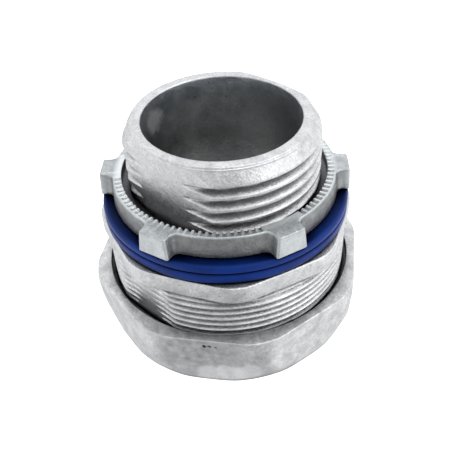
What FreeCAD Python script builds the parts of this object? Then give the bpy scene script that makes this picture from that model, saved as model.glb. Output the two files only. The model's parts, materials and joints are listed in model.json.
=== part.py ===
import FreeCAD, Part
import math
import os

# Trade size 3/4 raintight compression connector for rigid and intermediate metal conduit.
# Origin: on the axis, in the plane of the shoulder face that the sealing ring sits on.
# +Z points out of the box end. The conduit enters from -Z. All lengths are millimetres.

INCH = 25.4
FULL_TURN = 360.0
TOUCH = 0.01  # an edge this close to a plane or a wall lies on it
AXIS_POINT = FreeCAD.Vector(0, 0, 0)
AXIS = FreeCAD.Vector(0, 0, 1)
OCTAGON_HALF_ANGLE = math.radians(22.5)
FLANK_TAN = math.tan(math.radians(30.0))  # both threads have 60 degree profiles
FLANK_COS = math.cos(math.radians(30.0))

# Conduit, and the clearances round it
CONDUIT_R = 26.7 / 2
CONDUIT_GAP = 0.2
SLIP_GAP = 0.1
CONDUIT_SOCKET_R = CONDUIT_R + CONDUIT_GAP
THROAT_R = 10.5

# Box thread, 3/4-14 straight
BOX_PITCH = INCH / 14
BOX_MAJOR_R = 13.15
BOX_ROOT_R = 12.05
BOX_CREST_WIDTH = 0.3
BOX_CREST_Z = 12.35  # centre of the top crest where the helix crosses the +X side

# Compression thread, 24 threads to the inch
GLAND_PITCH = INCH / 24
GLAND_MAJOR_R = 17.1
GLAND_ROOT_R = 16.5
GLAND_CREST_WIDTH = 0.12
GLAND_CREST_Z = -4.18

# Gaps between mating threads: crest to root, and square to the flanks
CREST_GAP = 0.16
FLANK_GAP = 0.13

# Body heights
RIM_Z = 14.05
SHOULDER_BOTTOM_Z = -2.65
CONDUIT_STOP_Z = -1.6
BODY_END_Z = -11.95
NECK = 0.95  # plain neck between the shoulder and the compression thread
BOX_NECK = 1.6  # the same under the sealing ring

# Shoulder and the mouth that the seal is pressed into
SHOULDER_APOTHEM = 17.0
MOUTH_R = 15.4
MOUTH_CONE_Z = -7.05

# Sealing ring and locknut, both on the box thread
FACE_GAP = 0.1
RING_R = 17.1
RING_TOP_Z = 3.0
LOCKNUT_BOTTOM_Z = RING_TOP_Z + FACE_GAP
LOCKNUT_TOP_Z = 6.2
LUG_COUNT = 6
PAD_LUG_ANGLE = -20.0  # this lug and every second one from it have no crown teeth beside them

# Gland nut
NUT_TOP_Z = -8.65
NUT_BOTTOM_Z = -17.6
NUT_APOTHEM = 18.95
NUT_CORNER_ANGLE = 9.5
SEAT_CONE_TOP_Z = -14.9
SEAT_R = 15.2

# Stack inside the gland nut at rest. It moves up by this much before the seal meets its cone
TIGHTENING_TRAVEL = 2 * GLAND_PITCH
STACK_R = 15.2
STACK_BORE_R = CONDUIT_SOCKET_R + SLIP_GAP
SEAL_TOP_Z = -8.0
SEAL_BOTTOM_Z = -11.15
WASHER_BOTTOM_Z = -11.8
STACK_GAP = 0.05


def revolved(section):
    """The solid swept round the axis by a closed section of (radius, z) corners."""
    corners = [FreeCAD.Vector(radius, 0, z) for radius, z in section]
    wire = Part.makePolygon(corners + corners[:1])
    return Part.Face(wire).revolve(AXIS_POINT, AXIS, FULL_TURN)


def turned(shape, angle):
    """A copy of the shape turned about the axis, in degrees."""
    copy = shape.copy()
    copy.rotate(AXIS_POINT, AXIS, angle)
    return copy


def octagon_wire(apothem, corner_angle, fillet, z):
    """An octagon whose corners are rounded by arcs of the fillet radius."""
    centre_r = (apothem - fillet) / math.cos(OCTAGON_HALF_ANGLE)
    arcs = []
    for side in range(8):
        corner = math.radians(corner_angle + 45.0 * side)
        centre = FreeCAD.Vector(centre_r * math.cos(corner), centre_r * math.sin(corner), z)
        on_arc = []
        for swing in (-OCTAGON_HALF_ANGLE, 0.0, OCTAGON_HALF_ANGLE):
            direction = FreeCAD.Vector(math.cos(corner + swing), math.sin(corner + swing), 0)
            on_arc.append(centre + direction * fillet)
        arcs.append(Part.Arc(*on_arc).toShape())
    edges = []
    for arc, following in zip(arcs, arcs[1:] + arcs[:1]):
        edges.append(arc)
        edges.append(Part.makeLine(arc.Vertexes[-1].Point, following.Vertexes[0].Point))
    return Part.Wire(edges)


def helical_bar(pitch, section, passes_z, start_z, end_z):
    """A bar with a section of (radius, height) corners, swept up a right-hand helix.

    Height 0 of the section follows the helix that crosses the +X side at passes_z. The bar runs
    from start_z to end_z.
    """
    mean_r = sum(radius for radius, height in section) / len(section)
    helix = Part.makeLongHelix(pitch, end_z - start_z, mean_r)
    corners = [FreeCAD.Vector(radius, 0, height) for radius, height in section]
    profile = Part.makePolygon(corners + corners[:1])
    bar = Part.Wire(helix.Edges).makePipeShell([profile], True, True)
    bar.translate(FreeCAD.Vector(0, 0, start_z))
    return turned(bar, FULL_TURN * (start_z - passes_z) / pitch)


def male_groove(pitch, major_r, root_r, crest_width):
    """Section cut from a bar of the major radius to leave a male thread."""
    overshoot = 0.5
    mouth = (pitch - crest_width) / 2
    floor = mouth - (major_r - root_r) * FLANK_TAN
    return [
        (root_r, -floor),
        (major_r, -mouth),
        (major_r + overshoot, -mouth),
        (major_r + overshoot, mouth),
        (major_r, mouth),
        (root_r, floor),
    ]


def female_groove(pitch, major_r, root_r, crest_width):
    """Section cut from a bore to leave a female thread that clears the male thread of these sizes."""
    overshoot = 0.5
    bore_r = root_r + CREST_GAP
    floor_r = major_r + CREST_GAP
    floor = crest_width / 2 + FLANK_GAP / FLANK_COS - CREST_GAP * FLANK_TAN
    mouth = floor + (floor_r - bore_r) * FLANK_TAN
    return [
        (floor_r, -floor),
        (bore_r, -mouth),
        (bore_r - overshoot, -mouth),
        (bore_r - overshoot, mouth),
        (bore_r, mouth),
        (floor_r, floor),
    ]


def box_nipple():
    """The bar that the box thread is cut in, with a domed parting flat on each side."""
    lead_in = 1.2
    bevel = 0.25
    rim_r = BOX_ROOT_R + 0.1
    nipple = revolved([
        (0, SHOULDER_BOTTOM_Z),
        (BOX_ROOT_R, SHOULDER_BOTTOM_Z),
        (BOX_ROOT_R, BOX_NECK),
        (BOX_MAJOR_R, BOX_NECK + BOX_MAJOR_R - BOX_ROOT_R),
        (BOX_MAJOR_R, RIM_Z - lead_in),
        (rim_r, RIM_Z - bevel),
        (rim_r - bevel, RIM_Z),
        (0, RIM_Z),
    ])
    flat_r = 32.0
    distance_at_minus_y = 11.65
    distance_at_plus_y = 11.2
    for centre_y in (flat_r - distance_at_minus_y, distance_at_plus_y - flat_r):
        centre = FreeCAD.Vector(0, centre_y, SHOULDER_BOTTOM_Z)
        nipple = nipple.common(Part.makeCylinder(flat_r, RIM_Z - SHOULDER_BOTTOM_Z, centre))
    return nipple


def compression_barrel():
    """The bar that the compression thread is cut in, with a plane parting flat on each side."""
    end_bevel = 0.55
    root_bevel = GLAND_MAJOR_R - GLAND_ROOT_R
    barrel = revolved([
        (0, SHOULDER_BOTTOM_Z),
        (0, BODY_END_Z),
        (GLAND_MAJOR_R - end_bevel, BODY_END_Z),
        (GLAND_MAJOR_R, BODY_END_Z + end_bevel),
        (GLAND_MAJOR_R, SHOULDER_BOTTOM_Z - NECK),
        (GLAND_ROOT_R, SHOULDER_BOTTOM_Z - NECK + root_bevel),
        (GLAND_ROOT_R, SHOULDER_BOTTOM_Z),
    ])
    flat_distance = 16.45
    width = 3 * GLAND_MAJOR_R
    corner = FreeCAD.Vector(-width / 2, -flat_distance, BODY_END_Z)
    slab = Part.makeBox(width, 2 * flat_distance, SHOULDER_BOTTOM_Z - BODY_END_Z, corner)
    return barrel.common(slab)


def level_edges(shape):
    """The edges of a shape that lie in planes square to the axis."""
    return [edge for edge in shape.Edges if edge.BoundBox.ZLength < TOUCH]


def shoulder():
    """The octagon that a wrench holds, with softened top and bottom edges."""
    corner_fillet = 6.4
    edge_fillet = 0.25
    outline = octagon_wire(SHOULDER_APOTHEM, 0.0, corner_fillet, SHOULDER_BOTTOM_Z)
    block = Part.Face(outline).extrude(FreeCAD.Vector(0, 0, -SHOULDER_BOTTOM_Z))
    return block.makeFillet(edge_fillet, level_edges(block))


def body_bore():
    """Everything that is open through the body: throat, conduit stop, socket and seal mouth."""
    overshoot = 1.0
    bevel = 0.28
    cone = MOUTH_R - CONDUIT_SOCKET_R
    return revolved([
        (0, RIM_Z + overshoot),
        (THROAT_R + bevel, RIM_Z + overshoot),
        (THROAT_R + bevel, RIM_Z),
        (THROAT_R, RIM_Z - bevel),
        (THROAT_R, CONDUIT_STOP_Z),
        (CONDUIT_SOCKET_R, CONDUIT_STOP_Z),
        (CONDUIT_SOCKET_R, MOUTH_CONE_Z + cone),
        (MOUTH_R, MOUTH_CONE_Z),
        (MOUTH_R, BODY_END_Z + bevel),
        (MOUTH_R + bevel, BODY_END_Z),
        (MOUTH_R + bevel, BODY_END_Z - overshoot),
        (0, BODY_END_Z - overshoot),
    ])


def connector_body():
    body = box_nipple().fuse([compression_barrel(), shoulder()])
    box_groove = helical_bar(
        BOX_PITCH,
        male_groove(BOX_PITCH, BOX_MAJOR_R, BOX_ROOT_R, BOX_CREST_WIDTH),
        BOX_CREST_Z + BOX_PITCH / 2,
        BOX_NECK / 2,
        RIM_Z + BOX_PITCH,
    )
    gland_groove = helical_bar(
        GLAND_PITCH,
        male_groove(GLAND_PITCH, GLAND_MAJOR_R, GLAND_ROOT_R, GLAND_CREST_WIDTH),
        GLAND_CREST_Z + GLAND_PITCH / 2,
        BODY_END_Z - GLAND_PITCH,
        SHOULDER_BOTTOM_Z - NECK / 2,
    )
    return body.cut([box_groove, gland_groove, body_bore()])


def sealing_ring():
    """Blue ring: two round beads on the outside with a groove between them, and a flat top."""
    bead = 0.5
    groove = 0.28
    groove_z = 1.75
    thread_gap = 0.2
    inner_r = BOX_MAJOR_R + thread_gap
    ring = revolved([
        (inner_r, FACE_GAP),
        (RING_R, FACE_GAP),
        (RING_R, groove_z - groove),
        (RING_R - groove, groove_z),
        (RING_R, groove_z + groove),
        (RING_R, RING_TOP_Z),
        (inner_r, RING_TOP_Z),
    ])
    outer = [
        edge for edge in level_edges(ring)
        if edge.BoundBox.XMax > RING_R - TOUCH and abs(edge.BoundBox.ZMin - groove_z) > 2 * groove
    ]
    return ring.makeFillet(bead, outer)


def lug():
    """One locknut lug on the +X side, with draft, a flat end and rounded upright edges."""
    root_r = 14.8
    outlines = []
    for z, end_r, width in ((LOCKNUT_BOTTOM_Z, 17.15, 4.5), (LOCKNUT_TOP_Z, 17.0, 3.85)):
        corners = [(root_r, -width / 2), (end_r, -width / 2), (end_r, width / 2), (root_r, width / 2)]
        points = [FreeCAD.Vector(x, y, z) for x, y in corners]
        outlines.append(Part.makePolygon(points + points[:1]))
    block = Part.makeLoft(outlines, True, True)
    uprights = [
        edge for edge in block.Edges
        if edge.BoundBox.ZLength > block.BoundBox.ZLength / 2 and edge.BoundBox.XMin > root_r + 1.0
    ]
    upright_fillet = 0.4
    return block.makeFillet(upright_fillet, uprights)


def crown_notches():
    """Cutters for the slots between the teeth on the locknut's top face, deepest at the bore."""
    teeth = 104
    depth = 0.45
    half_width = 0.28
    floor_half_width = 0.14
    rise = 20.0  # degrees
    inner_r = 13.8
    outer_r = 16.2
    pad_half_angle = 10.5
    pad_spacing = 2 * FULL_TURN / LUG_COUNT
    floor_z = LOCKNUT_TOP_Z - depth
    sides = [(-half_width, depth), (-floor_half_width, 0), (floor_half_width, 0), (half_width, depth)]
    corners = [FreeCAD.Vector(inner_r, y, floor_z + height) for y, height in sides]
    section = Part.Face(Part.makePolygon(corners + corners[:1]))
    notch = section.extrude(FreeCAD.Vector(outer_r - inner_r, 0, 0))
    notch.rotate(FreeCAD.Vector(inner_r, 0, floor_z), FreeCAD.Vector(0, 1, 0), -rise)
    notches = []
    for tooth in range(teeth):
        angle = FULL_TURN * tooth / teeth
        from_pad = (angle - PAD_LUG_ANGLE + pad_spacing / 2) % pad_spacing - pad_spacing / 2
        if abs(from_pad) > pad_half_angle:
            notches.append(turned(notch, angle))
    return notches


def locknut():
    wall_bottom_r = 15.55
    wall_top_r = 15.25
    crown_inner_r = 14.05
    crown_depth = 1.2
    bore_r = BOX_ROOT_R + CREST_GAP
    bevel = 0.28
    thread_top_z = LOCKNUT_TOP_Z - crown_depth - 0.4
    ring = revolved([
        (bore_r + bevel, LOCKNUT_BOTTOM_Z),
        (wall_bottom_r, LOCKNUT_BOTTOM_Z),
        (wall_top_r, LOCKNUT_TOP_Z),
        (crown_inner_r, LOCKNUT_TOP_Z),
        (crown_inner_r, LOCKNUT_TOP_Z - crown_depth),
        (bore_r, thread_top_z),
        (bore_r, LOCKNUT_BOTTOM_Z + bevel),
    ])
    ring = ring.cut(crown_notches())
    lugs = [turned(lug(), PAD_LUG_ANGLE + FULL_TURN * n / LUG_COUNT) for n in range(LUG_COUNT)]
    nut = ring.fuse(lugs)
    thread = helical_bar(
        BOX_PITCH,
        female_groove(BOX_PITCH, BOX_MAJOR_R, BOX_ROOT_R, BOX_CREST_WIDTH),
        BOX_CREST_Z,
        LOCKNUT_BOTTOM_Z - BOX_PITCH,
        thread_top_z + BOX_PITCH,
    )
    return nut.cut(thread)


def nut_block():
    """The gland nut's outside: a drafted octagon whose corners are turned down towards both faces."""
    corner_fillet = 4.0
    draft = 0.5
    edge_fillet = 0.3
    outline_bottom = octagon_wire(NUT_APOTHEM - draft, NUT_CORNER_ANGLE, corner_fillet, NUT_BOTTOM_Z)
    outline_top = octagon_wire(NUT_APOTHEM, NUT_CORNER_ANGLE, corner_fillet, NUT_TOP_Z)
    block = Part.makeLoft([outline_bottom, outline_top], True, True)
    block = block.makeFillet(edge_fillet, level_edges(block))
    bottom_r = 18.6
    top_r = 19.75
    middle_r = 20.2
    middle_low_z = NUT_BOTTOM_Z + 4.6
    middle_high_z = NUT_TOP_Z - 1.6
    return block.common(revolved([
        (0, NUT_BOTTOM_Z),
        (bottom_r, NUT_BOTTOM_Z),
        (middle_r, middle_low_z),
        (middle_r, middle_high_z),
        (top_r, NUT_TOP_Z),
        (0, NUT_TOP_Z),
    ]))


def gland_nut():
    """Die-cast nut with a counterbored mouth, a female thread, an undercut and the cone seat."""
    overshoot = 1.0
    bevel = 0.3
    bore_r = GLAND_ROOT_R + CREST_GAP
    mouth_r = 17.75
    mouth_depth = 0.95
    undercut_r = GLAND_MAJOR_R + CREST_GAP + 0.1
    undercut_top_z = SEAT_CONE_TOP_Z + 1.0
    seat_bottom_z = SEAT_CONE_TOP_Z - (SEAT_R - CONDUIT_SOCKET_R)
    bore = revolved([
        (0, NUT_TOP_Z + overshoot),
        (mouth_r, NUT_TOP_Z + overshoot),
        (mouth_r, NUT_TOP_Z - mouth_depth),
        (bore_r, NUT_TOP_Z - mouth_depth - (mouth_r - bore_r) / 2),
        (bore_r, undercut_top_z + (undercut_r - bore_r)),
        (undercut_r, undercut_top_z),
        (undercut_r, SEAT_CONE_TOP_Z),
        (SEAT_R, SEAT_CONE_TOP_Z),
        (CONDUIT_SOCKET_R, seat_bottom_z),
        (CONDUIT_SOCKET_R, NUT_BOTTOM_Z + bevel),
        (CONDUIT_SOCKET_R + bevel, NUT_BOTTOM_Z),
        (CONDUIT_SOCKET_R + bevel, NUT_BOTTOM_Z - overshoot),
        (0, NUT_BOTTOM_Z - overshoot),
    ])
    thread = helical_bar(
        GLAND_PITCH,
        female_groove(GLAND_PITCH, GLAND_MAJOR_R, GLAND_ROOT_R, GLAND_CREST_WIDTH),
        GLAND_CREST_Z,
        undercut_top_z - GLAND_PITCH / 2,
        NUT_TOP_Z - mouth_depth + GLAND_PITCH,
    )
    return nut_block().cut([bore, thread])


def gland_seal():
    """Rubber ring whose bevelled top is parallel to the cone in the body's mouth."""
    cone_gap = 0.2
    groove = 0.35
    bevel_bottom_z = MOUTH_CONE_Z - TIGHTENING_TRAVEL - cone_gap + (MOUTH_R - STACK_R)
    bevel = SEAL_TOP_Z - bevel_bottom_z
    middle_z = (SEAL_TOP_Z + SEAL_BOTTOM_Z) / 2
    return revolved([
        (STACK_BORE_R, SEAL_BOTTOM_Z),
        (STACK_R, SEAL_BOTTOM_Z),
        (STACK_R, bevel_bottom_z),
        (STACK_R - bevel, SEAL_TOP_Z),
        (STACK_BORE_R, SEAL_TOP_Z),
        (STACK_BORE_R, middle_z + 2 * groove),
        (STACK_BORE_R + groove, middle_z + groove),
        (STACK_BORE_R + groove, middle_z - groove),
        (STACK_BORE_R, middle_z - 2 * groove),
    ])


def slip_washer():
    top_z = SEAL_BOTTOM_Z - STACK_GAP
    return revolved([
        (STACK_BORE_R, WASHER_BOTTOM_Z),
        (STACK_R, WASHER_BOTTOM_Z),
        (STACK_R, top_z),
        (STACK_BORE_R, top_z),
    ])


def split_compression_ring():
    """Split steel ring, bevelled outside at both ends, with grip ridges inside."""
    outer_r = STACK_R - 0.15
    bore_r = STACK_BORE_R + SLIP_GAP
    top_z = WASHER_BOTTOM_Z - STACK_GAP
    top_bevel = 0.5
    seat_gap = 0.17  # along the axis
    cone_height = 0.97
    cone_top_z = SEAT_CONE_TOP_Z + seat_gap - (SEAT_R - outer_r)
    bottom_z = cone_top_z - cone_height
    section = [
        (bore_r, bottom_z),
        (outer_r - cone_height, bottom_z),
        (outer_r, cone_top_z),
        (outer_r, top_z - top_bevel),
        (outer_r - top_bevel, top_z),
        (bore_r, top_z),
    ]
    ridge_count = 4
    ridge_pitch = (top_z - bottom_z) / (ridge_count + 1)
    groove_depth = 0.28
    for ridge in range(ridge_count):
        z = top_z - ridge_pitch * (ridge + 1)
        section.append((bore_r, z + groove_depth))
        section.append((bore_r + groove_depth, z))
        section.append((bore_r, z - groove_depth))
    ring = revolved(section)
    split_width = 2.0
    split_angle = 130.0
    slant = 20.0  # degrees
    overshoot = 1.0
    corner = FreeCAD.Vector(0, -split_width / 2, bottom_z - overshoot)
    slot = Part.makeBox(STACK_R + overshoot, split_width, top_z - bottom_z + 2 * overshoot, corner)
    slot.rotate(FreeCAD.Vector(outer_r, 0, (top_z + bottom_z) / 2), FreeCAD.Vector(1, 0, 0), slant)
    return ring.cut(turned(slot, split_angle))


def main():
    os.makedirs("parts", exist_ok=True)
    for piece in (
        connector_body,
        locknut,
        sealing_ring,
        gland_nut,
        split_compression_ring,
        slip_washer,
        gland_seal,
    ):
        shape = piece()
        solid = shape.Solids[0]
        print(piece.__name__, len(shape.Solids), solid.isValid(), round(solid.Volume, 1))
        solid.exportStep(f"parts/{piece.__name__}.step")


main()
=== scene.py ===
"""Looks for a raintight conduit compression connector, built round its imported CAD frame.

Every piece is a closed skin of loops that go round the axis, in millimetres until the mesh is made.
Die-cast zinc, steel, blue plastic and rubber are procedural materials.
"""
import json
import math

import bpy
import numpy as np
from mathutils import Matrix, Vector


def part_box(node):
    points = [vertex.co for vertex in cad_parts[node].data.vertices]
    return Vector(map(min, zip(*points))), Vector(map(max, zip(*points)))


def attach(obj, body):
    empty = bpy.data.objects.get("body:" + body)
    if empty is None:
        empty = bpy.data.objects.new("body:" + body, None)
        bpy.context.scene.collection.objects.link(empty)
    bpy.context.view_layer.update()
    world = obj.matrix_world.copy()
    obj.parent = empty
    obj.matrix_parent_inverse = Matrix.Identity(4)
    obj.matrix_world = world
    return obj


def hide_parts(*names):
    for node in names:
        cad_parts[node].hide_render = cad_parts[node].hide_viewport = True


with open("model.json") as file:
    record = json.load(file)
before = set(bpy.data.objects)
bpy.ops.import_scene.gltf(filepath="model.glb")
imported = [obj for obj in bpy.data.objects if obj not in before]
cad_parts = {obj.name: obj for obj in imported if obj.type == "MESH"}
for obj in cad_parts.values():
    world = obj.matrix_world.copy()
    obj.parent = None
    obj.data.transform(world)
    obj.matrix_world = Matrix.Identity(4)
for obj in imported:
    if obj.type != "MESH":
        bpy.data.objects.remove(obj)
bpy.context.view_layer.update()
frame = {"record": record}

MM = 0.001
TAU = 2 * math.pi
FLANK_TAN = math.tan(math.radians(30))
FLANK_COS = math.cos(math.radians(30))


# ---------------------------------------------------------------- sizes from the frame

def node_heights(node):
    """Lowest and highest z of a CAD node, in mm."""
    low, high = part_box(node)
    return low.z / MM, high.z / MM


def mount_radius(name):
    """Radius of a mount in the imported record, in mm."""
    mounts = {mount["name"]: mount for mount in frame["record"]["mounts"]}
    return mounts[name]["dims"]["r_mm"]


def thread_pitch(follower):
    """The travel of one turn of the screw whose slide follows its hinge, in mm."""
    couplings = {c["joint"]: c for c in frame["record"]["behaviour"]["couplings"]}
    return couplings[follower]["ratio"] * TAU / MM


BODY_END_Z, RIM_Z = node_heights("connector_body")
LOCKNUT_BOTTOM_Z, LOCKNUT_TOP_Z = node_heights("locknut")
RING_BOTTOM_Z, RING_TOP_Z = node_heights("sealing_ring")
NUT_BOTTOM_Z, NUT_TOP_Z = node_heights("gland_nut")
SPLIT_BOTTOM_Z, SPLIT_TOP_Z = node_heights("split_compression_ring")
WASHER_BOTTOM_Z, WASHER_TOP_Z = node_heights("slip_washer")
SEAL_BOTTOM_Z, SEAL_TOP_Z = node_heights("gland_seal")
RING_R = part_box("sealing_ring")[1].x / MM
SPLIT_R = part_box("split_compression_ring")[1].x / MM
WASHER_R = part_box("slip_washer")[1].x / MM
SEAL_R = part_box("gland_seal")[1].x / MM
THROAT_R = mount_radius("throat")
SOCKET_R = mount_radius("conduit_socket")
STACK_BORE_R = SOCKET_R + 0.1
MOUTH_R = SEAL_R + 0.2
BOX_PITCH = thread_pitch("locknut_travel")
GLAND_PITCH = thread_pitch("gland_travel")

# Thread forms: crest_z is the height at which the crest crosses the +X side
BOX_THREAD = dict(
    major=mount_radius("box_nipple"),
    root=12.05,
    pitch=BOX_PITCH,
    crest_width=0.3,
    crest_z=12.35,
)
GLAND_THREAD = dict(major=17.1, root=16.5, pitch=GLAND_PITCH, crest_width=0.12, crest_z=-4.18)
CREST_GAP = 0.16
FLANK_GAP = 0.13

SHOULDER_BOTTOM_Z = -2.65
NUT_APOTHEM = 18.95
NUT_MOUTH_R = 17.75
CROWN_INNER_R = 14.05
CROWN_OUTER_R = 15.02
LOCKNUT_WALL_R = 15.25
CROWN_TEETH = 104
LUG_COUNT = 6
PAD_LUG_ANGLE = math.radians(-20)
CAMERA_AZIMUTH = math.radians(43)


# ---------------------------------------------------------------- outlines and sections

def even_angles(count):
    return np.arange(count) * TAU / count


def loop(angles, radius, height):
    """One closed loop round the axis. Radius and height are numbers or one value for each angle."""
    r = np.broadcast_to(radius, angles.shape)
    z = np.broadcast_to(height, angles.shape)
    return np.stack([r * np.cos(angles), r * np.sin(angles), z], axis=-1)


def smooth_min(a, b, blend):
    """The smaller of two values, with a soft change-over that is blend wide."""
    mix = np.clip(0.5 + 0.5 * (b - a) / blend, 0, 1)
    return b + (a - b) * mix - blend * mix * (1 - mix)


def quarter_round(radius, steps=4):
    """(inset, drop) pairs from a flat face, round its edge, to the wall below."""
    turns = [math.pi / 2 * step / steps for step in range(steps + 1)]
    return [(radius * (1 - math.sin(turn)), radius * (1 - math.cos(turn))) for turn in turns]


def rounded_section(corners, steps=4):
    """Points of an open section of (radius, height, fillet) corners, each rounded by a short curve."""
    points = []
    for before, corner, after in zip([None] + corners[:-1], corners, corners[1:] + [None]):
        here = np.array(corner[:2])
        fillet = corner[2]
        if fillet == 0 or before is None or after is None:
            points.append(tuple(here))
            continue
        to_before = np.array(before[:2]) - here
        to_after = np.array(after[:2]) - here
        start = here + to_before / np.linalg.norm(to_before) * fillet
        end = here + to_after / np.linalg.norm(to_after) * fillet
        for step in range(steps + 1):
            t = step / steps
            points.append(tuple((1 - t) ** 2 * start + 2 * t * (1 - t) * here + t ** 2 * end))
    return points


def thread_radius(angles, z, major, root, pitch, crest_width, crest_z):
    """Radius of a right-hand thread's surface at one height, with softened crest and root."""
    softness = 0.55
    turns = (z - crest_z) / pitch - angles / TAU
    from_crest = np.abs(turns - np.round(turns)) * pitch
    rise = np.clip(1 - (from_crest - crest_width / 2) / ((major - root) * FLANK_TAN), 0, 1)
    soft_rise = rise * rise * (3 - 2 * rise)
    return root + (major - root) * ((1 - softness) * rise + softness * soft_rise)


def female(thread):
    """The thread form of a bore that clears a male thread form."""
    wider = 2 * (FLANK_GAP / FLANK_COS - CREST_GAP * FLANK_TAN)
    return dict(
        thread,
        major=thread["major"] + CREST_GAP,
        root=thread["root"] + CREST_GAP,
        crest_width=thread["crest_width"] + wider,
    )


def octagon_radius(angles, apothem, corner_angle, fillet):
    """Radius of an octagon with rounded corners at each angle."""
    half = TAU / 16
    from_corner = np.mod(angles - corner_angle + half, 2 * half) - half
    centre = (apothem - fillet) / math.cos(half)
    straight = apothem / np.cos(half - np.abs(from_corner))
    reach = np.clip(fillet ** 2 - (centre * np.sin(from_corner)) ** 2, 0, None)
    arc = centre * np.cos(from_corner) + np.sqrt(reach)
    tangent_angle = half - math.atan((apothem - fillet) * math.tan(half) / apothem)
    return np.where(np.abs(from_corner) < tangent_angle, arc, straight)


def parting_flat_radius(angles):
    """Radius of the domed flats that the die parting leaves on the -Y and +Y sides of the box thread."""
    dome_r = 32.0
    distance_at_minus_y = 11.65
    distance_at_plus_y = 11.2
    distance = np.where(np.sin(angles) < 0, distance_at_minus_y, distance_at_plus_y)
    offset = dome_r - distance
    along = -np.abs(np.sin(angles)) * offset
    return along + np.sqrt(along ** 2 - offset ** 2 + dome_r ** 2)


# ---------------------------------------------------------------- meshes

def make_piece(name, loops, material, body, node):
    """A closed piece from loops that run down the outside and up the bore."""
    points = np.stack(loops) * MM
    rows, columns = points.shape[:2]
    index = np.arange(rows * columns).reshape(rows, columns)
    below = np.roll(index, -1, axis=0)
    quads = np.stack([index, below, np.roll(below, -1, axis=1), np.roll(index, -1, axis=1)], axis=-1)
    mesh = bpy.data.meshes.new(name)
    mesh.from_pydata(points.reshape(-1, 3), [], quads.reshape(-1, 4))
    return finish_piece(name, mesh, material, body, node)


def finish_piece(name, mesh, material, body, node):
    """Shades the mesh smooth and puts it in the CAD node's place."""
    mesh.shade_smooth()
    mesh.set_sharp_from_angle(angle=math.radians(38))
    mesh.materials.append(material)
    piece = bpy.data.objects.new(name, mesh)
    bpy.context.scene.collection.objects.link(piece)
    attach(piece, body)
    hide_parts(node)
    return piece


# ---------------------------------------------------------------- connector body

def body_outside(angles):
    """Rim, box thread, shoulder and compression thread, from the rim down."""
    root = BOX_THREAD["root"]
    major = BOX_THREAD["major"]
    rim_edge = 0.22
    rim_wall_r = root + 0.1
    rim_wall = 0.47
    lead_in = 1.85
    neck_z = 1.6
    row_step = 0.085
    blend = 0.1
    flats = parting_flat_radius(angles)
    mouth_rounding = ((0, 0.28), (0.03, 0.16), (0.11, 0.05), (0.25, 0))
    loops = [loop(angles, THROAT_R + out, RIM_Z - drop) for out, drop in mouth_rounding]
    rim_r = smooth_min(root - 0.03, flats + 0.05, 0.15)
    loops.append(loop(angles, (THROAT_R + rim_r) / 2, RIM_Z))
    for inset, drop in quarter_round(rim_edge):
        loops.append(loop(angles, rim_r - inset, RIM_Z - drop))
    for z in np.arange(RIM_Z - rim_edge - 0.08, neck_z, -row_step):
        lead = rim_wall_r + (major - rim_wall_r) * (RIM_Z - rim_wall - z) / (lead_in - rim_wall)
        ridge = np.maximum(thread_radius(angles, z, **BOX_THREAD), first_land(angles, z))
        if lead < major + 2 * blend:
            ridge = smooth_min(ridge, max(rim_wall_r, lead), blend)
        run_out = root + z - neck_z
        loops.append(loop(angles, smooth_min(np.minimum(ridge, run_out), flats, blend), z))
    loops.append(loop(angles, np.minimum(root, flats), 0.0))
    return loops + shoulder_loops(angles) + compression_thread_loops(angles)


def first_land(angles, z):
    """Radius of the solid land above the box thread's top crest, where the casting has no groove."""
    start = math.radians(-150)
    fade = math.radians(25)
    step = 0.1
    from_start = np.mod(angles - start, TAU)
    crest_z = BOX_THREAD["crest_z"] + BOX_PITCH * (from_start + start) / TAU
    depth = BOX_THREAD["major"] - BOX_THREAD["root"]
    above = np.clip((z - crest_z) / step + 1, 0, 1)
    return BOX_THREAD["root"] + depth * above * np.clip(from_start / fade, 0, 1)


def shoulder_loops(angles):
    """The octagon that a wrench holds, from its top face down."""
    apothem = 17.0
    corner = 6.4
    edge = 0.28
    rounding = quarter_round(edge)
    places = [(inset, -drop) for inset, drop in rounding]
    places += [(inset, SHOULDER_BOTTOM_Z + drop) for inset, drop in reversed(rounding)]
    loops = []
    for inset, z in places:
        radius = octagon_radius(angles, apothem - inset, 0.0, corner - inset)
        loops.append(loop(angles, radius, z))
    return loops


def compression_thread_loops(angles):
    """The plain neck under the shoulder, the fine thread and its bevelled end."""
    half_neck = 0.475
    run_out_slope = 1.6
    end_r = GLAND_THREAD["major"] - 0.55
    first_row = 0.28
    row_step = 0.07
    flat_distance = 16.45
    root = GLAND_THREAD["root"]
    flats = flat_distance / np.maximum(np.abs(np.sin(angles)), 0.5)
    loops = [loop(angles, root, SHOULDER_BOTTOM_Z)]
    for z in np.arange(SHOULDER_BOTTOM_Z - first_row, BODY_END_Z, -row_step):
        run_out = root + run_out_slope * max(0.0, SHOULDER_BOTTOM_Z - half_neck - z)
        end_bevel = end_r + z - BODY_END_Z
        ridge = np.minimum(thread_radius(angles, z, **GLAND_THREAD), min(run_out, end_bevel))
        loops.append(loop(angles, smooth_min(ridge, flats, 0.1), z))
    loops.append(loop(angles, end_r - 0.08, BODY_END_Z))
    return loops


def body_bore(angles):
    """Seal mouth, cone, conduit socket, stop and throat, from the bottom up."""
    cone = MOUTH_R - SOCKET_R
    cone_z = -7.05
    stop_z = -1.6
    section = rounded_section([
        (MOUTH_R + 0.6, BODY_END_Z, 0),
        (MOUTH_R, BODY_END_Z, 0.25),
        (MOUTH_R, cone_z, 0.15),
        (SOCKET_R, cone_z + cone, 0.3),
        (SOCKET_R, stop_z, 0.2),
        (THROAT_R, stop_z, 0.25),
        (THROAT_R, RIM_Z / 4, 0),
        (THROAT_R, RIM_Z * 3 / 4, 0),
    ])
    return [loop(angles, radius, height) for radius, height in section]


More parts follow.
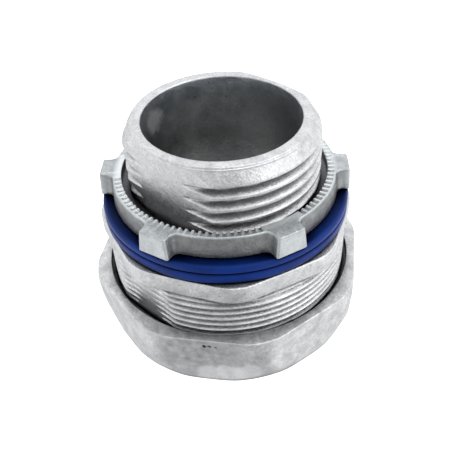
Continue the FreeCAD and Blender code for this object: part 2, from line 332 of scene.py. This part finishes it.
def build_connector_body(material):
    angles = even_angles(720)
    loops = body_outside(angles) + body_bore(angles)
    return make_piece("body_casting", loops, material, "connector_body", "connector_body")


# ---------------------------------------------------------------- sealing ring and locknut

def build_sealing_ring(material):
    """Blue ring: two round beads with a groove between them."""
    bead = 0.6
    inner_r = BOX_THREAD["major"] + 0.2
    groove = 0.3
    groove_z = 1.75
    section = rounded_section([
        (inner_r, RING_TOP_Z - 0.4, 0),
        (inner_r, RING_TOP_Z, 0.2),
        (RING_R, RING_TOP_Z, bead),
        (RING_R, groove_z + groove / 2, 0.3),
        (RING_R - groove, groove_z, 0.1),
        (RING_R, groove_z - groove / 2, 0.3),
        (RING_R, RING_BOTTOM_Z, bead),
        (inner_r, RING_BOTTOM_Z, 0.2),
        (inner_r, groove_z, 0),
    ], steps=6)
    angles = even_angles(360)
    loops = [loop(angles, radius, height) for radius, height in section]
    return make_piece("sealing_ring_plastic", loops, material, "sealing_ring", "sealing_ring")


def lug_distance(x, y, wall_r, lug_end, lug_width):
    """Signed distance to the locknut's outline: a disc with six lugs, blended at their roots."""
    lugs = np.full(x.shape, np.inf)
    corner = 0.35
    for number in range(LUG_COUNT):
        turn = PAD_LUG_ANGLE + TAU * number / LUG_COUNT
        along = x * math.cos(turn) + y * math.sin(turn)
        across = -x * math.sin(turn) + y * math.cos(turn)
        dx = np.abs(along - lug_end / 2) - lug_end / 2 + corner
        dy = np.abs(across) - lug_width / 2 + corner
        outside = np.hypot(np.maximum(dx, 0), np.maximum(dy, 0))
        box = outside + np.minimum(np.maximum(dx, dy), 0) - corner
        lugs = np.minimum(lugs, box)
    disc = np.hypot(x, y) - wall_r
    root_fillet = 1.0
    return smooth_union(disc, lugs, root_fillet)


def smooth_union(a, b, blend):
    """Signed distance to two shapes together, with a fillet where they meet."""
    overlap = np.maximum(blend - np.abs(a - b), 0) / blend
    return np.minimum(a, b) - overlap * overlap * blend / 4


def outline_radius(angles, distance, inset):
    """Where a ray from the axis leaves the outline, moved in by inset."""
    near = np.full(angles.shape, THROAT_R)
    far = np.full(angles.shape, 2 * THROAT_R)
    for _ in range(34):
        middle = (near + far) / 2
        inside = distance(middle * np.cos(angles), middle * np.sin(angles)) < -inset
        near = np.where(inside, middle, near)
        far = np.where(inside, far, middle)
    return (near + far) / 2


def notch_depth(angles, radius):
    """Depth of the slots between the crown's teeth. Beside every second lug there are none."""
    half_width = 0.28
    flank = 2.6
    inner_depth = 0.38
    outward_rise = math.tan(math.radians(20))
    pad_half_angle = math.radians(10.5)
    pad_spacing = 2 * TAU / LUG_COUNT
    phase = angles / TAU * CROWN_TEETH
    from_notch = np.abs(phase - np.round(phase)) * TAU * radius / CROWN_TEETH
    depth = inner_depth - (radius - CROWN_INNER_R) * outward_rise
    from_pad = np.abs(np.mod(angles - PAD_LUG_ANGLE + pad_spacing / 2, pad_spacing) - pad_spacing / 2)
    return np.clip((half_width - from_notch) * flank, 0, max(0.0, depth)) * (from_pad > pad_half_angle)


def locknut_angles():
    """Even columns for the teeth, with close ones on the flanks of the lugs."""
    columns_per_tooth = 12
    least_step = 2e-4
    flank_radii = np.linspace(14.85, 17.6, 14)
    flank_widths = (3.75, 4.55)
    close = []
    for number in range(LUG_COUNT):
        turn = PAD_LUG_ANGLE + TAU * number / LUG_COUNT
        for radius in flank_radii:
            for width in flank_widths:
                half = math.asin(width / 2 / radius)
                close += [turn - half, turn + half]
    even = even_angles(CROWN_TEETH * columns_per_tooth)
    angles = np.unique(np.concatenate([even, np.mod(close, TAU)]))
    keep = np.diff(angles, prepend=angles[0] - 1) > least_step
    return angles[keep]


def locknut_outline(angles, down, inset):
    """The locknut's outline at a share of its height from the top. It widens downwards by its draft."""
    wall = LOCKNUT_WALL_R + 0.3 * down
    lug_end = 17.0 + 0.15 * down
    lug_width = 3.85 + 0.65 * down

    def distance(x, y):
        return lug_distance(x, y, wall, lug_end, lug_width)

    return outline_radius(angles, distance, inset)


def locknut_outside(angles):
    """The locknut's crown with its teeth, and its lugs, from the crown's bore down."""
    height = LOCKNUT_TOP_Z - LOCKNUT_BOTTOM_Z
    bore_edge = 0.07
    edge = 0.16
    from_wall = locknut_outline(angles, 0, 0) - LOCKNUT_WALL_R
    on_lug = np.clip((from_wall - 0.15) / 0.4, 0, 1)
    bore_notch = notch_depth(angles, CROWN_INNER_R)
    loops = [loop(angles, CROWN_INNER_R, LOCKNUT_TOP_Z - bore_edge - bore_notch)]
    for radius in np.linspace(CROWN_INNER_R + bore_edge, CROWN_OUTER_R, 4):
        loops.append(loop(angles, radius, LOCKNUT_TOP_Z - notch_depth(angles, radius)))
    rim_notch = notch_depth(angles, LOCKNUT_WALL_R) * (1 - on_lug)
    loops.append(loop(angles, CROWN_OUTER_R + 0.15 * on_lug, LOCKNUT_TOP_Z - rim_notch))
    for inset, drop in quarter_round(edge):
        outline = locknut_outline(angles, drop / height, inset)
        loops.append(loop(angles, outline, LOCKNUT_TOP_Z - drop - rim_notch))
    for down in np.linspace(0.16, 0.94, 6):
        loops.append(loop(angles, locknut_outline(angles, down, 0), LOCKNUT_TOP_Z - height * down))
    for inset, drop in reversed(quarter_round(edge)[:-1]):
        outline = locknut_outline(angles, 1 - drop / height, inset)
        loops.append(loop(angles, outline, LOCKNUT_BOTTOM_Z + drop))
    return loops


def locknut_bore(angles):
    """The locknut's flat underside, bevelled female thread and the cone up to the crown's bore."""
    thread = female(BOX_THREAD)
    bevel = 0.28
    crown_depth = 1.2
    thread_top = LOCKNUT_TOP_Z - 1.6
    row_step = 0.09
    loops = [loop(angles, thread["root"] + bevel + 1.2, LOCKNUT_BOTTOM_Z)]
    for z in np.arange(LOCKNUT_BOTTOM_Z, thread_top, row_step):
        mouth = thread["root"] + bevel - (z - LOCKNUT_BOTTOM_Z)
        loops.append(loop(angles, np.maximum(thread_radius(angles, z, **thread), mouth), z))
    for share in (0, 0.25, 0.5, 0.75, 1):
        cone = thread["root"] + share * (CROWN_INNER_R - thread["root"])
        z = thread_top + share * (LOCKNUT_TOP_Z - crown_depth - thread_top)
        loops.append(loop(angles, np.maximum(thread_radius(angles, z, **thread), cone), z))
    return loops


def build_locknut(material):
    """Die-cast locknut: serrated crown, six drafted lugs and a short female thread."""
    angles = locknut_angles()
    loops = locknut_outside(angles) + locknut_bore(angles)
    return make_piece("locknut_casting", loops, material, "locknut", "locknut")


# ---------------------------------------------------------------- gland nut and the stack inside it

def nut_outline(angles, z, inset):
    """A drafted octagon whose corners are turned down towards both faces of the nut."""
    draft = 0.5
    corner = 4.0
    corner_angle = math.radians(9.5)
    below_top = NUT_TOP_Z - z
    above_bottom = z - NUT_BOTTOM_Z
    side = NUT_APOTHEM - draft * below_top / (NUT_TOP_Z - NUT_BOTTOM_Z)
    octagon = octagon_radius(angles, side - inset, corner_angle, corner - inset)
    turned_bottom = 18.6 + 0.34 * above_bottom
    turned_top = 19.75 + 0.28 * below_top
    return smooth_min(octagon, min(turned_bottom, turned_top) - inset, 0.3)


def nut_outside(angles):
    """The gland nut's top edge, sides and bottom edge, from the mouth down."""
    edge = 0.16
    mouth_rounding = ((0, 0.14), (0.04, 0.04), (0.14, 0))
    loops = [loop(angles, NUT_MOUTH_R + out, NUT_TOP_Z - drop) for out, drop in mouth_rounding]
    for inset, drop in quarter_round(edge):
        loops.append(loop(angles, nut_outline(angles, NUT_TOP_Z - drop, inset), NUT_TOP_Z - drop))
    for z in np.linspace(NUT_TOP_Z - 1, NUT_BOTTOM_Z + 0.8, 12):
        loops.append(loop(angles, nut_outline(angles, z, 0), z))
    for inset, drop in reversed(quarter_round(edge)):
        z = NUT_BOTTOM_Z + drop
        loops.append(loop(angles, nut_outline(angles, z, inset), z))
    return loops


def nut_bore(angles):
    """The gland nut's conduit hole, cone seat, relief, female thread and mouth, from the bottom up."""
    thread = female(GLAND_THREAD)
    seat_top = -14.9
    seat_r = MOUTH_R - 0.2
    relief_r = thread["major"] + 0.1
    relief_z = seat_top + 1.0
    run_in_slope = 1.2
    mouth_slope = 2.0
    row_step = 0.07
    section = rounded_section([
        (SOCKET_R + 1.5, NUT_BOTTOM_Z, 0),
        (SOCKET_R, NUT_BOTTOM_Z, 0.3),
        (SOCKET_R, seat_top - (seat_r - SOCKET_R), 0.1),
        (seat_r, seat_top, 0.15),
        (relief_r, seat_top, 0.25),
        (relief_r, relief_z, 0),
    ])
    loops = [loop(angles, radius, z) for radius, z in section]
    mouth_floor = NUT_TOP_Z - 0.95
    for z in np.arange(relief_z + 0.08, mouth_floor, row_step):
        ridge = thread_radius(angles, z, **thread)
        run_in = relief_r - run_in_slope * (z - relief_z)
        mouth = NUT_MOUTH_R - mouth_slope * (mouth_floor - z)
        loops.append(loop(angles, np.maximum(ridge, max(run_in, mouth)), z))
    return loops


def build_gland_nut(material):
    """Octagonal die-cast nut with a counterbored mouth, female thread and cone seat."""
    angles = even_angles(720)
    loops = nut_outside(angles) + nut_bore(angles)
    return make_piece("gland_nut_casting", loops, material, "gland_nut", "gland_nut")


def build_gland_seal(material):
    """Rubber ring with a bevelled top and a waist inside."""
    bevel = 1.17
    waist = 0.35
    middle = (SEAL_TOP_Z + SEAL_BOTTOM_Z) / 2
    section = rounded_section([
        (STACK_BORE_R, SEAL_TOP_Z - 0.4, 0),
        (STACK_BORE_R, SEAL_TOP_Z, 0.1),
        (SEAL_R - bevel, SEAL_TOP_Z, 0.15),
        (SEAL_R, SEAL_TOP_Z - bevel, 0.25),
        (SEAL_R, SEAL_BOTTOM_Z, 0.15),
        (STACK_BORE_R, SEAL_BOTTOM_Z, 0.15),
        (STACK_BORE_R, middle - 2 * waist, 0.15),
        (STACK_BORE_R + waist, middle - waist, 0.15),
        (STACK_BORE_R + waist, middle + waist, 0.15),
        (STACK_BORE_R, middle + 2 * waist, 0.15),
    ])
    angles = even_angles(240)
    loops = [loop(angles, radius, z) for radius, z in section]
    return make_piece("gland_seal_rubber", loops, material, "gland_stack", "gland_seal")


def build_slip_washer(material):
    """Thin washer, slightly rounded by stamping."""
    middle = (WASHER_TOP_Z + WASHER_BOTTOM_Z) / 2
    section = rounded_section([
        (STACK_BORE_R, middle, 0),
        (STACK_BORE_R, WASHER_TOP_Z, 0.12),
        (WASHER_R, WASHER_TOP_Z, 0.15),
        (WASHER_R, WASHER_BOTTOM_Z, 0.08),
        (STACK_BORE_R, WASHER_BOTTOM_Z, 0.08),
        (STACK_BORE_R, middle, 0),
    ])
    angles = even_angles(240)
    loops = [loop(angles, radius, z) for radius, z in section[:-1]]
    return make_piece("slip_washer_steel", loops, material, "gland_stack", "slip_washer")


def split_ring_section():
    """The split ring's bevel, cone and bore with its grip ridges, as (radius, height) rows."""
    bore_r = STACK_BORE_R + 0.1
    cone = 0.92
    top_bevel = 0.5
    ridges = 4
    grip = 0.28
    tip = 0.03
    corners = [
        (bore_r, SPLIT_TOP_Z - 0.2, 0),
        (bore_r, SPLIT_TOP_Z, 0.1),
        (SPLIT_R - top_bevel, SPLIT_TOP_Z, 0.1),
        (SPLIT_R, SPLIT_TOP_Z - top_bevel, 0.15),
        (SPLIT_R, SPLIT_BOTTOM_Z + cone, 0.15),
        (SPLIT_R - cone, SPLIT_BOTTOM_Z, 0.1),
        (bore_r, SPLIT_BOTTOM_Z, 0.05),
    ]
    pitch = (SPLIT_TOP_Z - SPLIT_BOTTOM_Z) / (ridges + 1)
    for ridge in range(1, ridges + 1):
        z = SPLIT_BOTTOM_Z + pitch * ridge
        corners += [(bore_r, z - grip, tip), (bore_r + grip, z, tip), (bore_r, z + grip, tip)]
    corners.append((bore_r, SPLIT_TOP_Z - 0.24, 0))
    return np.array(rounded_section(corners, steps=3))


def build_split_ring(material):
    """Split steel ring: its section swept from one side of the slanting split to the other."""
    section = split_ring_section()
    columns = 300
    half_split = 1.0 / SPLIT_R
    slant = math.tan(math.radians(20)) / SPLIT_R
    centre_z = (SPLIT_TOP_Z + SPLIT_BOTTOM_Z) / 2
    start = math.radians(130) + half_split
    turns = start + np.linspace(0, TAU - 2 * half_split, columns)
    radius = section[:, :1]
    height = section[:, 1:]
    angle = turns[None, :] - slant * (height - centre_z)
    points = np.stack([radius * np.cos(angle), radius * np.sin(angle), np.repeat(height, columns, 1)], -1)
    index = np.arange(len(section) * columns).reshape(len(section), columns)
    below = np.roll(index, -1, axis=0)
    quads = np.stack([index[:, :-1], below[:, :-1], below[:, 1:], index[:, 1:]], axis=-1).reshape(-1, 4)
    faces = quads.tolist() + [index[:, 0].tolist(), index[::-1, -1].tolist()]
    mesh = bpy.data.meshes.new("compression_ring_steel")
    mesh.from_pydata((points.reshape(-1, 3) * MM).tolist(), [], faces)
    return finish_piece("compression_ring_steel", mesh, material, "gland_stack", "split_compression_ring")


# ---------------------------------------------------------------- materials

class Nodes:
    """Short calls for building one material's node tree."""

    def __init__(self, name):
        self.material = bpy.data.materials.new(name)
        self.material.use_nodes = True
        self.tree = self.material.node_tree
        self.shader = self.tree.nodes["Principled BSDF"]
        self.place = self.add("ShaderNodeTexCoord").outputs["Object"]

    def add(self, kind, **settings):
        """A new node of a kind, with its settings."""
        node = self.tree.nodes.new(kind)
        for key, value in settings.items():
            setattr(node, key, value)
        return node

    def feed(self, socket, value):
        """Links another node's output to a socket, or sets the socket to a plain value."""
        if isinstance(value, bpy.types.NodeSocket):
            self.tree.links.new(value, socket)
        else:
            socket.default_value = value

    def put(self, name, value):
        """Feeds one of the shader's inputs."""
        self.feed(self.shader.inputs[name], value)

    def noise(self, size_mm, detail=4.0, roughness=0.55, stretch=None):
        """Noise whose features are about size_mm across, from 0 to 1."""
        place = self.place
        if stretch:
            mapping = self.add("ShaderNodeMapping")
            self.feed(mapping.inputs["Vector"], place)
            mapping.inputs["Scale"].default_value = stretch
            place = mapping.outputs["Vector"]
        node = self.add("ShaderNodeTexNoise")
        self.feed(node.inputs["Vector"], place)
        node.inputs["Scale"].default_value = 1 / (size_mm * MM)
        node.inputs["Detail"].default_value = detail
        node.inputs["Roughness"].default_value = roughness
        return node.outputs["Fac"]

    def ramp(self, value, low, high, to_low=0.0, to_high=1.0):
        """Maps low..high of a value to to_low..to_high, clamped."""
        node = self.add("ShaderNodeMapRange")
        self.feed(node.inputs["Value"], value)
        node.inputs["From Min"].default_value = low
        node.inputs["From Max"].default_value = high
        node.inputs["To Min"].default_value = to_low
        node.inputs["To Max"].default_value = to_high
        return node.outputs["Result"]

    def maths(self, operation, a, b):
        """One sum, product or the like of two values."""
        node = self.add("ShaderNodeMath", operation=operation)
        self.feed(node.inputs[0], a)
        self.feed(node.inputs[1], b)
        return node.outputs[0]

    def times(self, a, b):
        return self.maths("MULTIPLY", a, b)

    def mix(self, share, a, b, blend="MIX"):
        """Mixes two colours. Colours are (r, g, b) or sockets."""
        node = self.add("ShaderNodeMix", data_type="RGBA", blend_type=blend)
        self.feed(node.inputs["Factor"], share)
        for socket, value in ((node.inputs["A"], a), (node.inputs["B"], b)):
            self.feed(socket, (*value, 1) if isinstance(value, tuple) else value)
        return node.outputs["Result"]

    def bump(self, height, depth_mm, below=None):
        """Bump from a height of 0 to 1 that stands for depth_mm, on top of another bump."""
        node = self.add("ShaderNodeBump")
        node.inputs["Strength"].default_value = 1.0
        node.inputs["Distance"].default_value = depth_mm * MM
        self.feed(node.inputs["Height"], height)
        if below is not None:
            self.feed(node.inputs["Normal"], below)
        return node.outputs["Normal"]

    def cavity(self, reach_mm):
        """Ambient occlusion within a few millimetres: 1 in the open and 0 in crevices."""
        node = self.add("ShaderNodeAmbientOcclusion", samples=8, only_local=False)
        node.inputs["Distance"].default_value = reach_mm * MM
        return node.outputs["AO"]

    def shade(self, colour, value):
        """A colour whose three channels are multiplied by the value."""
        grey = self.add("ShaderNodeCombineColor")
        for channel in grey.inputs:
            self.feed(channel, value)
        return self.mix(1.0, colour, grey.outputs["Color"], blend="MULTIPLY")

    def from_axis(self):
        """Distance from the fitting's axis, in mm."""
        flat = self.add("ShaderNodeVectorMath", operation="MULTIPLY")
        self.feed(flat.inputs[0], self.place)
        flat.inputs[1].default_value = (1, 1, 0)
        length = self.add("ShaderNodeVectorMath", operation="LENGTH")
        self.feed(length.inputs[0], flat.outputs["Vector"])
        return self.maths("DIVIDE", length.outputs["Value"], MM)

    def height(self):
        """Height above the shoulder face, in mm."""
        split = self.add("ShaderNodeSeparateXYZ")
        self.feed(split.inputs[0], self.place)
        return self.maths("DIVIDE", split.outputs["Z"], MM)

    def patch(self, centre_mm, full_mm, none_mm):
        """A ragged patch: 1 within about full_mm of its centre, fading to 0 at about none_mm."""
        most_ragged = 1.5 * MM
        distance = self.add("ShaderNodeVectorMath", operation="DISTANCE")
        self.feed(distance.inputs[0], self.place)
        distance.inputs[1].default_value = Vector(centre_mm) * MM
        ragged = self.times(self.noise(2.0, detail=5), 2 * most_ragged)
        reach = self.maths("ADD", distance.outputs["Value"], self.maths("SUBTRACT", ragged, most_ragged))
        return self.ramp(reach, full_mm * MM, none_mm * MM, 1.0, 0.0)

    def edges(self):
        """Pointiness: about 0.5 on flats, more on convex edges."""
        return self.add("ShaderNodeNewGeometry").outputs["Pointiness"]


class WorldNodes(Nodes):
    """The same calls for the world's node tree, where directions take the place of places."""

    def __init__(self, name):
        self.world = bpy.data.worlds.new(name)
        self.world.use_nodes = True
        self.tree = self.world.node_tree
        self.shader = self.tree.nodes["Background"]
        self.place = self.add("ShaderNodeTexCoord").outputs["Generated"]

    def along(self, vector):
        """How far the direction points along the vector, from -1 to 1 for a unit vector."""
        node = self.add("ShaderNodeVectorMath", operation="DOT_PRODUCT")
        self.feed(node.inputs[0], self.place)
        node.inputs[1].default_value = vector
        return node.outputs["Value"]


def cast_zinc(name, light, dark, grain_mm, roughness):
    """Die-cast zinc: mottled grey with a fine grain, dark specks and worn bright edges."""
    nodes = Nodes(name)
    mottle = nodes.ramp(nodes.noise(grain_mm * 6, detail=6, roughness=0.62), 0.35, 0.65)
    fine = nodes.noise(grain_mm, detail=5, roughness=0.6)
    cloud = nodes.ramp(nodes.noise(9, detail=3), 0.3, 0.7)
    base = nodes.mix(mottle, dark, light)
    base = nodes.mix(nodes.ramp(cloud, 0, 1, 0.0, 0.28), base, dark)
    speck = nodes.ramp(nodes.noise(grain_mm * 2.2, detail=2), 0.62, 0.72)
    base = nodes.mix(nodes.times(speck, 0.35), base, tuple(c * 0.55 for c in dark))
    worn = nodes.ramp(nodes.maths("ADD", nodes.edges(), nodes.times(fine, 0.03)), 0.55, 0.64)
    base = nodes.mix(nodes.times(worn, 0.3), base, (0.86, 0.86, 0.85))
    base = nodes.shade(base, nodes.ramp(fine, 0.35, 0.65, 0.78, 1.06))
    nodes.put("Metallic", 0.92)
    nodes.put("Roughness", nodes.ramp(fine, 0.3, 0.7, roughness - 0.07, roughness + 0.09))
    skin = nodes.bump(nodes.noise(grain_mm * 5, detail=3), 0.05)
    nodes.put("Normal", nodes.bump(fine, 0.06, skin))
    return nodes, base


def finish_zinc(nodes, base, crevice_mm=1.3):
    """Paints shade into the crevices of a casting and gives it its colour."""
    # Painted shade: ambient occlusion within crevice_mm darkens the base colour in crevices.
    crevice_shade = nodes.ramp(nodes.cavity(crevice_mm), 0.25, 0.75, 0.04, 1.0)
    nodes.put("Base Color", nodes.shade(base, crevice_shade))
    return nodes.material


def on_wall(radius, degrees, z):
    """The place at a radius, an azimuth and a height, in millimetres."""
    angle = math.radians(degrees)
    return (radius * math.cos(angle), radius * math.sin(angle), z)


def body_zinc():
    """The body's casting: plain outside; painted shade in the throat, dark and bluish and darkest
    furthest from the rim, with a painted light patch and a small painted highlight.
    """
    nodes, base = cast_zinc("body_zinc", (0.67, 0.67, 0.67), (0.50, 0.50, 0.51), 0.28, 0.33)
    stain = nodes.ramp(nodes.noise(3, detail=6), 0.35, 0.7)
    # Painted shade: the throat is dark and bluish, darkest from 9 mm below the rim down and lighter
    # towards the rim.
    deep = nodes.mix(stain, (0.05, 0.055, 0.06), (0.12, 0.125, 0.13))
    near_rim = nodes.mix(stain, (0.22, 0.245, 0.27), (0.56, 0.59, 0.63))
    throat_shade = nodes.mix(nodes.ramp(nodes.height(), RIM_Z - 9, RIM_Z), deep, near_rim)
    # A painted light patch on the throat wall, 6 mm below the rim.
    painted_light_patch = nodes.patch(on_wall(THROAT_R, 82, RIM_Z - 6), 3.0, 9.0)
    throat_shade = nodes.mix(painted_light_patch, throat_shade, (0.26, 0.28, 0.30))
    # A small painted highlight, near white, on the throat wall 3.4 mm below the rim.
    bright = nodes.patch(on_wall(THROAT_R, -163, RIM_Z - 3.4), 1.1, 2.4)
    throat_shade = nodes.mix(bright, throat_shade, (0.97, 0.98, 1.0))
    inside = nodes.ramp(nodes.from_axis(), THROAT_R - 0.02, THROAT_R + 0.1, 1.0, 0.0)
    return finish_zinc(nodes, nodes.mix(inside, base, throat_shade))


def locknut_zinc():
    """The locknut's casting: painted light on the crown and the lug ends, painted shade on the wall
    between the lugs and in the crown's bore.
    """
    nodes, base = cast_zinc("locknut_zinc", (0.52, 0.545, 0.55), (0.34, 0.36, 0.37), 0.28, 0.36)
    radius = nodes.from_axis()
    # Painted light: the crown's top is lighter towards its inner edge.
    crown = nodes.ramp(radius, CROWN_INNER_R + 0.5, CROWN_INNER_R + 1.3, 0.7, 0.0)
    base = nodes.mix(crown, base, (0.80, 0.82, 0.83))
    # Painted shade on the wall between the lugs, below the top, with a noisy edge.
    wall = nodes.ramp(radius, CROWN_OUTER_R + 0.1, CROWN_OUTER_R + 0.25)
    lug = nodes.ramp(radius, CROWN_OUTER_R + 0.7, CROWN_OUTER_R + 1.6)
    below = nodes.ramp(nodes.height(), LOCKNUT_TOP_Z - 0.3, LOCKNUT_TOP_Z - 0.1, 1.0, 0.0)
    wall_shade = nodes.times(nodes.ramp(nodes.noise(1.2, detail=5), 0.3, 0.7, 0.45, 0.85), below)
    base = nodes.mix(nodes.times(wall_shade, nodes.maths("SUBTRACT", wall, lug)), base, (0.16, 0.155, 0.15))
    # Painted light on the lug ends below the top.
    base = nodes.mix(nodes.times(nodes.times(below, lug), 0.2), base, (0.86, 0.87, 0.87))
    # Painted shade: the crown's bore is near black.
    inside = nodes.ramp(radius, CROWN_INNER_R - 0.02, CROWN_INNER_R + 0.1, 1.0, 0.0)
    return finish_zinc(nodes, nodes.mix(inside, base, (0.12, 0.12, 0.13)), crevice_mm=0.45)


def nut_zinc():
    """The gland nut's casting: grainier than the body, with a dark blotchy patch near the top at the
    front, lighter patches lower down and pits.
    """
    nodes, base = cast_zinc("nut_zinc", (0.70, 0.70, 0.70), (0.46, 0.46, 0.47), 0.35, 0.42)
    # A dark blotchy patch near the top of the front faces.
    place = on_wall(NUT_APOTHEM - 0.35, -62, NUT_TOP_Z - 1.5)
    blotch = nodes.ramp(nodes.noise(1.2, detail=5), 0.3, 0.7)
    tone = nodes.mix(blotch, (0.26, 0.26, 0.26), (0.56, 0.56, 0.56))
    base = nodes.mix(nodes.times(nodes.patch(place, 3.5, 7.0), 0.8), base, tone)
    # Three lighter patches low on the front faces.
    for angle, z in ((-57, 1.3), (-49, 1.9), (-41, 2.7)):
        lighter_patch = nodes.patch(on_wall(NUT_APOTHEM - 0.15, angle, NUT_BOTTOM_Z + z), 1.6, 2.4)
        base = nodes.mix(nodes.times(lighter_patch, 0.5), base, (0.88, 0.88, 0.88))
    for radius, angle, z in ((18.9, -59, 1.1), (18.9, -57, 1.0), (18.9, -54, 1.1), (19.7, -36, 1.5)):
        pit = nodes.patch(on_wall(radius, angle, NUT_TOP_Z - z), 0.12, 0.35)
        base = nodes.mix(pit, base, (0.03, 0.03, 0.03))
    return finish_zinc(nodes, base)


def blue_plastic():
    """Moulded deep blue vinyl with a soft sheen, faint flow marks and painted shade in its crevices and
    under the locknut.
    """
    nodes = Nodes("blue_vinyl")
    cloud = nodes.noise(5, detail=4)
    colour = nodes.mix(nodes.ramp(cloud, 0.3, 0.7), (0.0005, 0.014, 0.10), (0.001, 0.026, 0.19))
    # Painted shade: ambient occlusion within 3.5 mm darkens the colour and dims the sheen in crevices and
    # on the top face under the locknut.
    crevice_shade = nodes.ramp(nodes.cavity(3.5), 0.55, 0.98, 0.03, 1.0)
    nodes.put("Base Color", nodes.shade(colour, crevice_shade))
    fine = nodes.noise(0.4, detail=4)
    nodes.put("Roughness", nodes.ramp(fine, 0.3, 0.7, 0.34, 0.46))
    nodes.put("Specular IOR Level", nodes.times(crevice_shade, 0.13))
    skin = nodes.bump(nodes.noise(2.0, detail=2), 0.02)
    nodes.put("Normal", nodes.bump(fine, 0.006, skin))
    return nodes.material


def plated_steel(name, light, dark):
    """Zinc-plated steel with marks from rolling and a little haze."""
    nodes = Nodes(name)
    streaks = nodes.noise(0.5, detail=4, stretch=(1, 1, 6))
    cloud = nodes.ramp(nodes.noise(5, detail=4), 0.3, 0.7)
    nodes.put("Base Color", nodes.mix(cloud, dark, light))
    nodes.put("Metallic", 1.0)
    nodes.put("Roughness", nodes.ramp(streaks, 0.3, 0.7, 0.24, 0.42))
    nodes.put("Normal", nodes.bump(streaks, 0.012))
    return nodes.material


def black_rubber():
    """Moulded rubber with a fine matt grain and a grey bloom."""
    nodes = Nodes("black_rubber")
    bloom = nodes.ramp(nodes.noise(4, detail=5), 0.45, 0.75)
    nodes.put("Base Color", nodes.mix(bloom, (0.012, 0.012, 0.013), (0.04, 0.04, 0.042)))
    fine = nodes.noise(0.25, detail=3)
    nodes.put("Roughness", nodes.ramp(fine, 0.3, 0.7, 0.55, 0.75))
    nodes.put("Normal", nodes.bump(fine, 0.015))
    return nodes.material


# ---------------------------------------------------------------- stage, light and camera

def make_floor():
    """A plain pale floor under the gland nut. What metal sees below it is the world's own glow."""
    half = 3.0
    z = NUT_BOTTOM_Z * MM
    corners = [(x * half, y * half, z) for x, y in ((-1, -1), (1, -1), (1, 1), (-1, 1))]
    mesh = bpy.data.meshes.new("floor")
    mesh.from_pydata(corners, [], [(0, 1, 2, 3)])
    nodes = Nodes("pale_floor")
    nodes.put("Base Color", (0.9, 0.9, 0.9, 1))
    nodes.put("Roughness", 0.9)
    nodes.put("Specular IOR Level", 0.0)
    nodes.put("Emission Color", (1, 1, 1, 1))
    nodes.put("Emission Strength", 0.8)
    mesh.materials.append(nodes.material)
    floor = bpy.data.objects.new("floor", mesh)
    floor.visible_glossy = False
    floor.visible_diffuse = False
    bpy.context.scene.collection.objects.link(floor)


def make_world():
    """Pale studio light: bright above and beside, dimmer in front, and a pale floor below."""
    nodes = WorldNodes("studio")
    forward, side = camera_directions()
    up = Vector((0, 0, 1))
    overhead = nodes.along((forward * 0.5 + up * 0.87).normalized())
    beside = nodes.maths("MAXIMUM", nodes.along(side * 1.15), nodes.along(side * -0.85))
    glow = nodes.ramp(nodes.maths("MAXIMUM", overhead, beside), 0.15, 0.8, 0.7, 1.45)
    glow.node.interpolation_type = "SMOOTHSTEP"
    floor = nodes.ramp(nodes.along(up), -0.5, -0.1, 0.72, 0.0)
    nodes.put("Color", (0.97, 0.985, 1.0, 1))
    seen = nodes.add("ShaderNodeLightPath").outputs["Is Camera Ray"]
    nodes.put("Strength", nodes.maths("MAXIMUM", glow, nodes.maths("MAXIMUM", floor, seen)))
    bpy.context.scene.world = nodes.world


def camera_directions():
    """Level directions away from the camera and to its right."""
    forward = Vector((-math.sin(CAMERA_AZIMUTH), math.cos(CAMERA_AZIMUTH), 0))
    side = Vector((math.cos(CAMERA_AZIMUTH), math.sin(CAMERA_AZIMUTH), 0))
    return forward, side


def add_area_light(name, azimuth, elevation, distance, size, watts):
    """A square soft light that points at the object. Azimuth 0 stands on the -Y side."""
    light = bpy.data.lights.new(name, "AREA")
    light.size = size
    light.energy = watts
    lamp = bpy.data.objects.new(name, light)
    turn = math.radians(azimuth)
    rise = math.radians(elevation)
    level = math.cos(rise)
    towards = Vector((math.sin(turn) * level, -math.cos(turn) * level, math.sin(rise)))
    lamp.location = towards * distance
    lamp.rotation_euler = towards.to_track_quat("Z", "Y").to_euler()
    bpy.context.scene.collection.objects.link(lamp)


def make_camera():
    """A camera above the box end, turned a little about its own axis."""
    reach = 70.14
    above_rim = 41.13
    aim_z = -5.02
    aim_left = 0.19
    camera_data = bpy.data.cameras.new("camera")
    camera_data.lens = 49.4
    camera_data.sensor_width = 36.0
    camera_data.clip_start = 0.01
    camera = bpy.data.objects.new("camera", camera_data)
    forward, side = camera_directions()
    camera.location = (Vector((0, 0, RIM_Z + above_rim)) - forward * reach) * MM
    aim = (Vector((0, 0, aim_z)) - side * aim_left) * MM
    look = (aim - camera.location).to_track_quat("-Z", "Y").to_matrix().to_4x4()
    roll = Matrix.Rotation(math.radians(-3.2), 4, "Z")
    camera.matrix_world = Matrix.Translation(camera.location) @ look @ roll
    bpy.context.scene.collection.objects.link(camera)
    bpy.context.scene.camera = camera


def build_object():
    """All seven pieces with their materials."""
    build_connector_body(body_zinc())
    build_sealing_ring(blue_plastic())
    build_locknut(locknut_zinc())
    build_gland_nut(nut_zinc())
    build_gland_seal(black_rubber())
    build_slip_washer(plated_steel("washer_steel", (0.72, 0.72, 0.72), (0.52, 0.52, 0.53)))
    build_split_ring(plated_steel("yellow_plated_steel", (0.70, 0.62, 0.40), (0.50, 0.47, 0.36)))


build_object()
make_floor()
make_world()
add_area_light("key", azimuth=110, elevation=50, distance=0.5, size=0.45, watts=0.8)
make_camera()
bpy.context.scene.view_settings.view_transform = "Standard"
